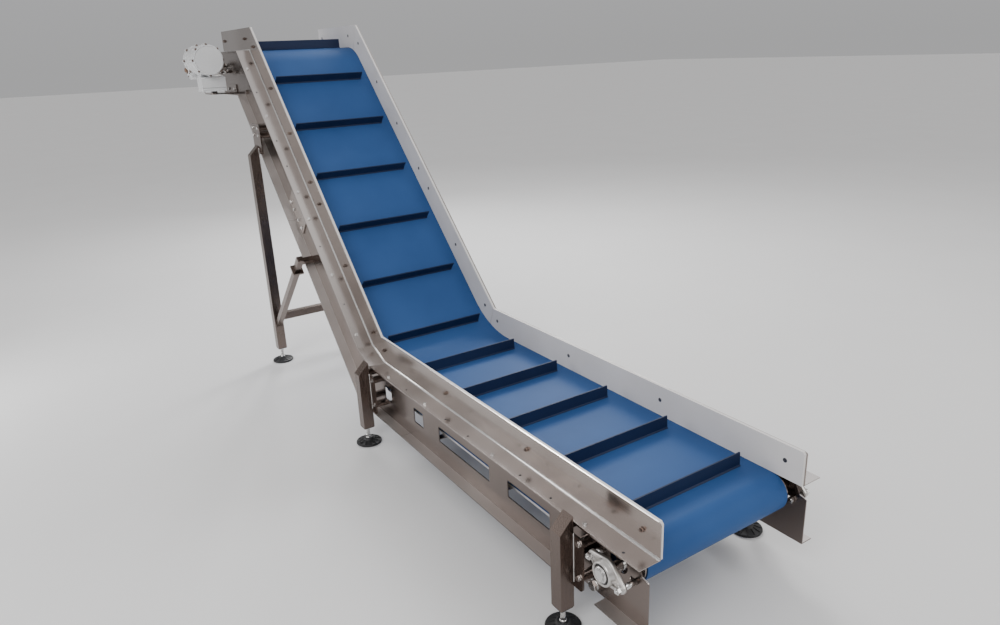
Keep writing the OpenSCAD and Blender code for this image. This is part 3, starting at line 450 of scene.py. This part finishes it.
bolts = Shape()
for side in (1, -1):
    for k in (1, 4, 7, 9):
        bolt(bolts, at(LEVEL_HOLE + HOLE_PITCH * k, HOLE_Y * side, 3), (0, 0, 1), *SMALL)
    for k in (0, 2, 4, 5, 8, 10):
        x, z = climb(SLOPE_HOLE + HOLE_PITCH * k, 3)
        bolt(bolts, at(x, HOLE_Y * side, z), (-S45, 0, S45), *SMALL)
    for ds in (-85, -35, 35, 85):
        for n in (-185, -75):
            x, z = climb(975 + ds, n)
            bolt(bolts, at(x, 350.1 * side, z), (0, side, 0), *LARGE, 9.2, 3)
    for leg in ("tail", "knee"):
        for dx in (-49, 49):
            for z in (-50, -170):
                bolt(bolts, at(LEGS[leg] + dx, BRACKET_Y * side, z), (0, side, 0), *LARGE, 59.9, 3)
    tie = at(236, 345 * side, -216)
    bolt(bolts, tie, (0, side, 0), 30, 12.5, 19, 10, 4.1, 4, 2.5)
    for dx in (-44, 44):
        for dz in (0, 40):
            bolt(bolts, at(3010 + dx, BRACKET_Y * side, 950 + dz), (0, side, 0), *LARGE, 59.9, 3)
for dx in (30, 150):
    bolt(bolts, at(HEAD_C[0] - 172 + dx, 351, CREST_Z - 205), (0, 1, 0), *LARGE, 10, 3)
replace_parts(bolts.make("frame_bolts_made", steel_bright, "conveyor_frame", "stainless"), "frame_bolts")

SCREW_UP = 64.0                     # liner screws above the deck
screws = [(x, SCREW_UP) for x in (70, 626, 1182, 1752)]
screws += [climb(s, SCREW_UP) for s in (106, 480, 850, 988, 1308, 1618, 1920)]
screws += [(CREST_X + x, CREST_Z + SCREW_UP) for x in (70, 500)]
outer, inner = Shape(), Shape()
for side in (1, -1):
    for x, z in screws:
        m = spin_to(at(x, 313.05 * side, z), (0, side, 0), x)
        outer.lathe([(4.6, 0), (8.2, 0), (8.5, 0.3), (8.5, 1.2), (8.2, 1.5), (4.6, 1.5)], m, 28,
                    closed=True)
        outer.hexagon(13, 6.4, m @ Matrix.Translation((0, 0, 1.5)), both=True)
        outer.thread(4, 7.9, 12.5, 1.25, m)
        m = spin_to(at(x, 300 * side, z), (0, -side, 0))
        inner.lathe([(4.0, -9.0), (4.0, -2.0), (7.6, -0.2), (8.0, 0.2), (7.7, 0.9), (6.6, 1.5),
                     (4.2, 1.9), (2.9, 1.95), (2.6, 1.6), (2.6, -0.9), (0.4, -1.1)], m, 28)
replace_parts(outer.make("liner_nuts", shaded_tube_steel, "conveyor_frame", "stainless"), "liner_screws")
inner.make("liner_screw_heads", dark_steel, "conveyor_frame", "stainless")


# ---------------------------------------------------------------- bearings

BOLT_AT = 65                        # bolt centre to shaft centre on a bearing housing
SLOPE_OF_HOUSING = math.radians(18.0)


def oval(big, small, half, grow, n=16):
    """Outline of a two-bolt housing: a big round with a small one at half to either side."""
    a = math.acos((big - small) / half)
    pts = []
    arcs = ((half, small, -a, a), (0, big, a, math.pi - a),
            (-half, small, math.pi - a, math.pi + a), (0, big, math.pi + a, 2 * math.pi - a))
    for cx, r, a0, a1 in arcs:
        for i in range(n):
            t = a0 + (a1 - a0) * i / (n - 1)
            pts.append((cx + (r + grow) * math.cos(t), (r + grow) * math.sin(t)))
    return pts


def bearing(housing, seals, nuts, collars, centre, side):
    along = Vector((math.cos(SLOPE_OF_HOUSING), 0, math.sin(SLOPE_OF_HOUSING)))
    out_dir = Vector((0, side, 0))
    across_dir = out_dir.cross(along)
    c = Vector(at(centre[0], 390.0 * side, centre[1]))
    m = (Matrix.Translation(c * MM) @ Matrix((along, across_dir, out_dir)).transposed().to_4x4()
         @ Matrix.Scale(MM, 4))
    flange = ((0.0, -1.0), (1.0, 0.0), (10.5, 0.0), (13.0, -1.2), (14.0, -3.5))
    housing.rings([[(x, y, h) for x, y in oval(44, 15, BOLT_AT, g)] for h, g in flange], m, True)
    housing.lathe([(25.2, 2), (41, 2), (42.5, 14), (41, 17), (39.6, 20), (38.8, 27), (37.6, 30.5),
                   (35, 32), (32.5, 32), (31.2, 31), (31, 26.5), (25.2, 26.5)], m, 64, closed=True)
    for k in (-1, 1):
        s = m @ Matrix.Translation((BOLT_AT * k, 0, 0))
        housing.lathe([(6.8, 12.5), (13.2, 12.5), (13.0, 14.6), (12.2, 15.2), (6.8, 15.2)], s, 32,
                      closed=True)
        for w in (-9, 9):
            rib = [[(k * x, v - 2.5, 10), (k * x, v + 2.5, 10), (k * x, v + half, z), (k * x, v - half, z)]
                   for x, v, half, z in ((34, w, 2.0, 26), (56, w * 0.8, 1.5, 15))]
            housing.rings(rib, m, False)
        nuts.hexagon(19, 10.5, s @ Matrix.Translation((0, 0, 16.8)), both=True)
        nuts.lathe([(6.2, 15.2), (11.5, 15.2), (12, 15.6), (12, 16.4), (11.5, 16.8), (6.2, 16.8)], s,
                   28, closed=True)
        nuts.thread(6, 27, 31.5, 1.75, s)
        nuts.lathe([(6.2, -44.7), (9, -44.7), (9, -0.1), (6.2, -0.1)], s, 28, closed=True)
        nuts.lathe([(6.0, -62), (6.0, 16.5)], s, 20)
        nuts.hexagon(19, 10, s @ Matrix.Translation((0, 0, -60)), both=True)
    seals.lathe([(25.3, 26.6), (31, 26.6), (30.5, 28.6), (28, 29.4), (26, 29.0), (25.3, 28.0)], m, 48,
                closed=True)
    collars.lathe([(17.55, 24), (24.8, 24), (24.8, 33), (24.2, 33.9), (23.2, 34.2), (22.6, 35.6),
                   (21.6, 36.0), (18.2, 36.0), (17.55, 35.4)], m, 56, closed=True)

    def radial(turn, r, z):
        return (m @ Matrix.Rotation(turn, 4, "Z") @ Matrix.Translation((r, 0, z))
                @ Matrix.Rotation(math.pi / 2, 4, "Y"))
    for a in (0.6, 2.7):
        collars.lathe([(0.4, 1.0), (1.8, 1.2), (1.9, 1.9), (3.2, 2.0), (3.2, -2.0), (0.4, -2.0)],
                      radial(a, 23.4, 30.5), 16)
    nipple = radial(1.15, 38, 21)
    nuts.hexagon(7, 4, nipple)
    nuts.lathe([(2.6, 4), (2.6, 6), (1.7, 7), (1.7, 8.4), (2.8, 9.4), (2.8, 10.4), (1.4, 11.8),
                (0.3, 12)], nipple, 16)


for end, centre, carrier, turning in (("tail", TAIL_C, "tail_takeup", "tail_drum_unit"),
                                      ("head", HEAD_C, "conveyor_frame", "head_drum_unit")):
    housing, seals, nuts, collars = Shape(), Shape(), Shape(), Shape()
    for side in (1, -1):
        bearing(housing, seals, nuts, collars, centre, side)
    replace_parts(housing.make(end + "_bearing_castings", cast, carrier, "stainless"),
                end + "_bearing_housings")
    seals.make(end + "_bearing_seals", black, carrier, "black_plastic")
    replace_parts(nuts.make(end + "_bearing_fixings", steel_bright, carrier, "stainless"),
                end + "_bearing_studs")
    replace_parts(collars.make(end + "_bearing_collars", steel_bright, turning, "stainless"),
                end + "_bearing_rings")


# ---------------------------------------------------------------- drive

MOTOR_X, GEAR_Y, WORM_Z, INPUT_X = 3306.5, 520.0, HEAD_C[1] + 50, 3574.5
LUG_R = 81                          # lug bolts to motor axis
COVER_Y = 46                        # half width of the gearbox over its covers
shell, fixings = Shape(), Shape()
face = spin_to(at(MOTOR_X, GEAR_Y, WORM_Z), (-1, 0, 0))
shell.lathe([(70, -0.6), (76, -0.6), (77.6, 0.3), (77.2, 1.6), (76, 2.4), (74, 2.4), (72.6, 1.4),
             (71.5, 0.3)], face, 96, closed=True)
for x, way in ((MOTOR_X + 8, -1), (MOTOR_X + 66, 1), (INPUT_X - 40, -1), (INPUT_X - 18, 1)):
    for k in range(8):
        a = math.pi * k / 4
        m = spin_to(at(x, GEAR_Y + LUG_R * math.cos(a), WORM_Z + LUG_R * math.sin(a)), (way, 0, 0), a)
        fixings.lathe([(3.2, 0.05), (6.6, 0.05), (6.8, 0.4), (6.6, 1.2), (3.2, 1.2)], m, 24,
                      closed=True)
        fixings.hexagon(10, 5.0, m @ Matrix.Translation((0, 0, 1.2)), both=way > 0)
for y, way in ((GEAR_Y + COVER_Y, 1), (GEAR_Y - COVER_Y, -1)):
    m = spin_to(at(HEAD_C[0], y, HEAD_C[1]), (0, way, 0))
    shell.lathe([(20, 0.05), (27, 0.05), (26.4, 3.4), (25, 4.4), (20, 4.4)], m, 64, closed=True)
    for k in range(6):
        h = m @ Matrix.Rotation(math.pi * (k + 0.5) / 3, 4, "Z") @ Matrix.Translation((35.5, 0, 0))
        fixings.lathe([(0.2, 1.2), (2.4, 1.2), (2.5, 3.4), (3.2, 4.0), (4.1, 3.8), (4.4, 3.0),
                       (4.4, 0.05), (0.2, 0.05)], h, 24)
lid_z = WORM_Z - 82 - 7.1 - 60 - 18  # motor radius, saddle, terminal box, lid
for dx in (10, 100):
    for dy in (10, 120):
        m = spin_to(at(MOTOR_X + 42 + dx, GEAR_Y - 85 + dy, lid_z), (0, 0, -1))
        fixings.lathe([(0.2, 0.9), (2.2, 0.9), (2.4, 2.6), (3.4, 3.0), (4.4, 2.4), (4.6, 0.05),
                       (0.2, 0.05)], m, 24)
shell.make("drive_rims", paint, "conveyor_frame", "drive_paint")
fixings.make("drive_screws", shaded_tube_steel, "conveyor_frame", "stainless")
end = Shape()
m = spin_to(at(HEAD_C[0], GEAR_Y + COVER_Y + 1, HEAD_C[1]), (0, 1, 0))
end.lathe([(11.4, 0.2), (19, 0.2), (19.6, 1.0), (19.6, 4.2), (18.8, 5.0), (11.4, 5.0)], m, 48,
          closed=True)
end.hexagon(24, 9.0, m @ Matrix.Translation((0, 0, 5.1)), both=True)
end.lathe([(0.5, 12), (9.0, 12), (9.2, 16.4), (8.2, 17.4), (0.5, 17.4)], m, 32)
end.make("output_shaft_end", dark_brown_steel, "head_drum_unit", "stainless")
eye = Shape()
arm = (HEAD_C[0] - 112, HEAD_C[1] - 108)
arm_y = GEAR_Y - COVER_Y - 8.2
m = spin_to(at(arm[0], arm_y + 12.2, arm[1]), (0, 1, 0))
eye.lathe([(8.3, 0.1), (15.5, 0.1), (16, 0.5), (16, 2.6), (15.5, 3.0), (8.3, 3.0)], m, 40,
          closed=True)
eye.hexagon(27, 11.5, m @ Matrix.Translation((0, 0, 3.0)), both=True)
eye.thread(8, 14.5, 20.0, 2.0, m)
eye.make("torque_arm_nut", dark_brown_steel, "conveyor_frame", "stainless")


# ---------------------------------------------------------------- bends in the sheet

FOOT_CUT = 70                       # each side of the foot, where the flange turns in two steps
HEAD_END = 3776.2


def bend_path(h):
    """The line of the conveyor at height h over the deck, from tail end to head end."""
    k = math.tan(math.pi / 16) * h
    return [(0.3, h), (FOOT_X - FOOT_CUT - k, h), climb(FOOT_CUT + k, h),
            (CREST_X - math.tan(math.pi / 8) * h, CREST_Z + h), (HEAD_END, CREST_Z + h)]


bends = Shape()
CURVE = [(318.6 - 5.6 * math.sin(a), 8.6 - 5.6 * math.cos(a)) for a in (math.pi * i / 16 for i in range(9))]
for side in (1, -1):
    corner = [(312.8, 2.8), (318.6, 2.8)] + CURVE + [(312.8, 8.6)]
    columns = [[at(x, y * side, z) for x, z in bend_path(h)] for y, h in corner]
    bends.rings([[column[i] for column in columns] for i in range(5)], Matrix.Scale(MM, 4), True)
# painted highlight: the fold strip takes the brighter turned steel, paler than the sheet it bends, for the
# bright line along the fold
bends.make("flange_bends", steel_bright, "conveyor_frame", "stainless")


# ---------------------------------------------------------------- welds and small shaft parts

welds = Shape()
for leg, x in LEGS.items():
    for side in (1, -1):
        y = 401.4 * side
        tops = {"tail": (-26, -200), "knee": (-26, -200), "rear": (880, 780)}[leg]
        for dx in (-25.2, 25.2):
            welds.tube(bead(at(x + dx, y, tops[0]), at(x + dx, y, tops[1])), 2.1, 8, 0.16)
welds.make("leg_welds", steel_bright, "conveyor_frame", "stainless")
clips = Shape()
for side in (1, -1):
    m = spin_to(at(TAIL_C[0], 426.5 * side, TAIL_C[1]), (0, side, 0))
    clips.lathe([(15.9, 0.0), (19.6, 0.0), (19.8, 0.3), (19.8, 1.2), (19.6, 1.5), (15.9, 1.5)], m, 40,
                closed=True)
clips.make("tail_shaft_clips", steel_bright, "tail_drum_unit", "stainless")


# ---------------------------------------------------------------- levelling feet

LEG_Y = 426                         # leg centres from the middle of the belt
LEG_END = -290                      # lower end of the leg tubes
SQUARE = ((-1, -0.86), (-0.86, -1), (0.86, -1), (1, -0.86), (1, 0.86), (0.86, 1), (-0.86, 1), (-1, 0.86))
inserts, lock_nuts = Shape(), Shape()
for leg, x in LEGS.items():
    for side, word in ((1, "left"), (-1, "right")):
        name = leg + "_" + word
        base = spin_to(at(x, LEG_Y * side, -Z0), (0, 0, 1))
        pad = Shape()
        pad.lathe([(0.5, 0.0), (56.5, 0.0), (58, 1.2), (58, 6.5), (57.2, 8.2), (55, 9.2), (50, 9.6),
                   (40, 12.5), (27, 17.5), (22.5, 20.5), (21.5, 24), (20, 25.5), (17, 26),
                   (13.5, 26), (13, 23), (0.5, 23)], base, 72)
        for i in range(12):
            t = 2 * math.pi * i / 12 + math.pi / 12
            rib = [[(r, -1.6, low), (r, 1.6, low), (r, 1.1, high), (r, -1.1, high)]
                   for r, low, high in ((27, 12, 20), (54, 5, 10.6))]
            pad.rings(rib, base @ Matrix.Rotation(t, 4, "Z"), False)
        for k in (-1, 1):
            hole = base @ Matrix.Translation((0, 42 * k, 0))
            pad.lathe([(5.5, 10.0), (9.5, 10.0), (9.2, 13.4), (8.4, 14.0), (5.8, 14.0)], hole, 28,
                      closed=True)
        body = "levelling_foot_" + name
        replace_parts(pad.make("pad_" + name, black, body, "black_plastic"), "foot_" + name)
        spindle = Shape()
        spindle.lathe([(2, 20.5), (10.5, 20.5), (12.4, 24), (12.4, 26), (11, 29), (8.4, 31)], base, 32)
        spindle.hexagon(17, 8, base @ Matrix.Translation((0, 0, 30)), both=True)
        spindle.thread(8, 38, 149.5, 2.0, base, 24)
        spindle.make("spindle_" + name, steel_bright, body, "stainless")
        foot_top = spin_to(at(x, LEG_Y * side, LEG_END), (0, 0, 1))
        sq = [(a * 24.4, b * 24.4) for a, b in SQUARE]
        inserts.prism(sq, 2.8, foot_top @ Matrix.Translation((0, 0, -3.0)))
        inserts.prism([(a * 0.88, b * 0.88) for a, b in sq], 12, foot_top @ Matrix.Translation((0, 0, 0.2)))
        lock_nuts.hexagon(24, 9.8, foot_top @ Matrix.Translation((0, 0, -13.0)), both=True)
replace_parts(inserts.make("insert_caps", black, "conveyor_frame", "black_plastic"), "foot_inserts")
lock_nuts.make("lock_nuts", steel_bright, "conveyor_frame", "stainless")

darken_holes(["guide_left", "guide_right"] + SIDE_FRAMES, 5.2)
paint_lip_highlights(SIDE_FRAMES)
round_edges(["legs"], 0.004, 3)
round_edges(["braces", "leg_brackets"], 0.0018, 2)
round_edges(["gearbox_housing", "terminal_box", "terminal_box_lid", "motor_housing",
             "motor_end_cover"], 0.0022, 3)


# ---------------------------------------------------------------- stage

def area(name, place, aim, size, power, colour=(1, 1, 1)):
    """A rectangular light at place, turned to face aim; metres and watts."""
    l = bpy.data.lights.new(name, "AREA")
    l.shape = "RECTANGLE"
    l.size, l.size_y = size
    l.energy = power
    l.color = colour
    o = bpy.data.objects.new(name, l)
    bpy.context.scene.collection.objects.link(o)
    o.location = place
    o.rotation_euler = (Vector(aim) - Vector(place)).to_track_quat("-Z", "Y").to_euler()


FLOOR, DROP = 60, -0.001            # half size, and just under the pads so the faces do not meet
floor_mesh = bpy.data.meshes.new("floor")
floor_mesh.from_pydata([(-FLOOR, -FLOOR, DROP), (FLOOR, -FLOOR, DROP), (FLOOR, FLOOR, DROP),
                        (-FLOOR, FLOOR, DROP)], [], [(0, 1, 2, 3)])
floor = bpy.data.objects.new("floor", floor_mesh)
bpy.context.scene.collection.objects.link(floor)
m, t, p = node_material("floor")
mottle = noise(t, coords(t, (1, 1, 1)), 1.5)
t.links.new(ramp(t, mottle, (0.80, 0.80, 0.80), (0.82, 0.82, 0.82)), p.inputs["Base Color"])
p.inputs["Roughness"].default_value = 0.7
dress(floor, m)

area("key", (-2.5, 5.0, 5.5), (1.2, 0, 0.6), (4.0, 3.0), 230)
area("fill", (-4.5, -3.0, 3.5), (1.2, 0, 0.6), (4.0, 3.0), 90, (1.0, 0.98, 0.95))
area("rim", (5.5, -3.5, 5.0), (1.5, 0, 1.0), (3.0, 3.0), 130)
area("low", (3.4, 2.9, 1.1), (0.2, 0.3, 0.4), (0.9, 1.6), 30)
area("flare_tail", (4.1, -2.5, 3.5), (0.1, 0.37, 0.37), (0.8, 1.4), 60)
area("flare_knee", (6.3, -1.6, 2.75), (1.3, 0.37, 0.37), (0.6, 0.9), 60)

world = bpy.data.worlds.new("studio")
bpy.context.scene.world = world
world.use_nodes = True
wt = world.node_tree
wt.nodes.clear()
out = wt.nodes.new("ShaderNodeOutputWorld")
bg = wt.nodes.new("ShaderNodeBackground")
tc = wt.nodes.new("ShaderNodeTexCoord")
sep = wt.nodes.new("ShaderNodeSeparateXYZ")
r = wt.nodes.new("ShaderNodeValToRGB")
stops = ((0.0, (0.47, 0.47, 0.475)), (0.08, (0.50, 0.50, 0.51)), (0.17, (0.30, 0.29, 0.285)),
         (0.28, (0.34, 0.33, 0.32)), (0.40, (0.60, 0.59, 0.58)), (0.56, (1.25, 1.25, 1.27)),
         (0.66, (0.85, 0.84, 0.84)), (0.86, (0.42, 0.40, 0.39)), (0.93, (1.3, 1.3, 1.3)),
         (1.0, (0.5, 0.5, 0.52)))
for element, (place, colour) in zip(r.color_ramp.elements, (stops[0], stops[-1])):
    element.position, element.color = place, (*colour, 1)
for place, colour in stops[1:-1]:
    r.color_ramp.elements.new(place).color = (*colour, 1)
wt.links.new(tc.outputs["Generated"], sep.inputs["Vector"])
wt.links.new(sep.outputs["Z"], r.inputs["Fac"])
wt.links.new(r.outputs["Color"], bg.inputs["Color"])
bg.inputs["Strength"].default_value = 0.9
wt.links.new(bg.outputs["Background"], out.inputs["Surface"])

cam = bpy.data.cameras.new("camera")
cam.sensor_width = 36.0
cam.lens = 27.154
cam.dof.use_dof = False
camera = bpy.data.objects.new("camera", cam)
bpy.context.scene.collection.objects.link(camera)
right = Vector((-0.54761, -0.83575, -0.04052))
ahead = Vector((0.79711, -0.50634, -0.32898))
up = right.cross(ahead)
camera.matrix_world = Matrix.Translation((-1.520, 1.575, 1.707)) @ Matrix((
    (right.x, up.x, -ahead.x, 0),
    (right.y, up.y, -ahead.y, 0),
    (right.z, up.z, -ahead.z, 0),
    (0, 0, 0, 1)))
bpy.context.scene.camera = camera
